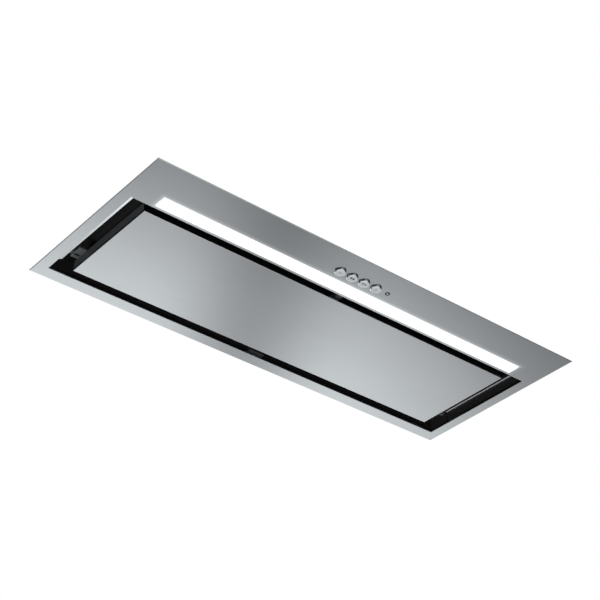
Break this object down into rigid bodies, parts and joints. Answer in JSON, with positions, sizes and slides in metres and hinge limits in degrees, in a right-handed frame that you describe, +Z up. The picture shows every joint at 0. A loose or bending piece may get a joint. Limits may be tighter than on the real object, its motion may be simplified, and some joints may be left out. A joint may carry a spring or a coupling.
{
  "type": "built-in range hood",
  "caption": "Built-in range hood: stainless frame with a hinged suction panel, light strip and push buttons, with body, grease filters, blower and duct outlet above it.",
  "frame": {"origin": "middle of the seat: the plane of the frame's hem that lies against the cabinet's underside", "axes": "+X to the right seen from the front, +Y to the back wall, +Z up"},
  "size_m": [0.72, 0.298, 0.3248],
  "materials": {
    "stainless_plate": "fine satin brushing along the width",
    "stainless_panel": "fine satin brushing along the width",
    "black_steel": "matt black powder coat",
    "zinc_steel": "galvanised sheet with a faint spangle",
    "spring_steel": "rolled spring steel",
    "hinge_steel": "grey phosphate",
    "bright_steel": "bright zinc",
    "filter_aluminium": "natural aluminium",
    "latch_plastic": "moulded, fine texture",
    "button_chrome": "polished chrome plating",
    "opal_diffuser": "opal acrylic, lit",
    "indicator_plastic": "clear moulded lens",
    "channel_aluminium": "extruded",
    "black_plastic": "moulded",
    "flap_plastic": "moulded",
    "scroll_plastic": "moulded, pale grey",
    "circuit_board": "glass-fibre board with solder mask",
    "motor_can": "plain",
    "black_rubber": "matt"
  },
  "bodies": {
    "hood": {"face_plate": "stainless_plate", "plate_nuts": "bright_steel", "light_diffuser": "opal_diffuser", "light_channel": "channel_aluminium", "light_caps": "black_plastic", "light_board": "circuit_board", "indicator_lens": "indicator_plastic", "switch_bank": "black_plastic", "switch_board": "circuit_board", "body_wrap": "black_steel", "body_end_left": "black_steel", "body_end_right": "black_steel", "side_rail_left": "hinge_steel", "side_rail_right": "hinge_steel", "bay_divider": "black_steel", "filter_tray": "black_steel", "filter_frame_left": "filter_aluminium", "filter_mesh_left": "filter_aluminium", "filter_frame_right": "filter_aluminium", "filter_mesh_right": "filter_aluminium", "hinge_bracket_left": "hinge_steel", "hinge_bracket_right": "hinge_steel", "hinge_pins": "hinge_steel", "catch_holder": "black_plastic", "catch_magnet": "motor_can", "stop_buffer": "black_rubber", "spring_clips": "spring_steel", "housing_wrap": "zinc_steel", "housing_end_left": "zinc_steel", "housing_end_right": "zinc_steel", "scroll_left": "scroll_plastic", "scroll_right": "scroll_plastic", "motor": "motor_can", "motor_spider": "zinc_steel", "outlet_collar": "black_plastic", "flap_pins": "bright_steel", "control_box": "black_plastic", "control_lid": "black_plastic", "cable_gland": "black_plastic", "main_board": "circuit_board", "capacitor": "motor_can", "motor_lead": "black_rubber", "rivets": "bright_steel", "screws": "bright_steel"},
    "panel": {"panel_skin": "stainless_panel", "panel_liner": "black_steel", "hinge_arm_left": "hinge_steel", "hinge_arm_right": "hinge_steel", "panel_rivets": "bright_steel"},
    "button_1": {"button_1": "button_chrome"},
    "button_2": {"button_2": "button_chrome"},
    "button_3": {"button_3": "button_chrome"},
    "button_4": {"button_4": "button_chrome"},
    "rotor": {"impeller": "scroll_plastic", "motor_shaft": "bright_steel"},
    "flap_front": {"flap_front": "flap_plastic"},
    "flap_back": {"flap_back": "flap_plastic"},
    "latch_left": {"filter_latch_left": "latch_plastic"},
    "latch_right": {"filter_latch_right": "latch_plastic"}
  },
  "joints": [
    {"name": "panel_hinge", "type": "hinge", "parent": "hood", "child": "panel", "pos_m": [0, 0.102, 0.0195], "axis": [1, 0, 0], "range_deg": [0, 90]},
    {"name": "fan_spin", "type": "hinge", "parent": "hood", "child": "rotor", "pos_m": [0, -0.027, 0.1942], "axis": [1, 0, 0], "continuous": true},
    {"name": "flap_front_swing", "type": "hinge", "parent": "hood", "child": "flap_front", "pos_m": [0, 0.0315, 0.289], "axis": [-1, 0, 0], "range_deg": [0, 75]},
    {"name": "flap_back_swing", "type": "hinge", "parent": "hood", "child": "flap_back", "pos_m": [0, 0.0405, 0.289], "axis": [1, 0, 0], "range_deg": [0, 75]},
    {"name": "button_1_press", "type": "slide", "parent": "hood", "child": "button_1", "axis": [0, 0, 1], "range_m": [0, 0.0025], "stiffness_N_per_m": 400, "springref_m": -0.002},
    {"name": "button_2_press", "type": "slide", "parent": "hood", "child": "button_2", "axis": [0, 0, 1], "range_m": [0, 0.0025], "stiffness_N_per_m": 400, "springref_m": -0.002},
    {"name": "button_3_press", "type": "slide", "parent": "hood", "child": "button_3", "axis": [0, 0, 1], "range_m": [0, 0.0025], "stiffness_N_per_m": 400, "springref_m": -0.002},
    {"name": "button_4_press", "type": "slide", "parent": "hood", "child": "button_4", "axis": [0, 0, 1], "range_m": [0, 0.0025], "stiffness_N_per_m": 400, "springref_m": -0.002},
    {"name": "latch_left_slide", "type": "slide", "parent": "hood", "child": "latch_left", "axis": [0, 1, 0], "range_m": [0, 0.005], "stiffness_N_per_m": 500, "springref_m": -0.002},
    {"name": "latch_right_slide", "type": "slide", "parent": "hood", "child": "latch_right", "axis": [0, 1, 0], "range_m": [0, 0.005], "stiffness_N_per_m": 500, "springref_m": -0.002}
  ]
}
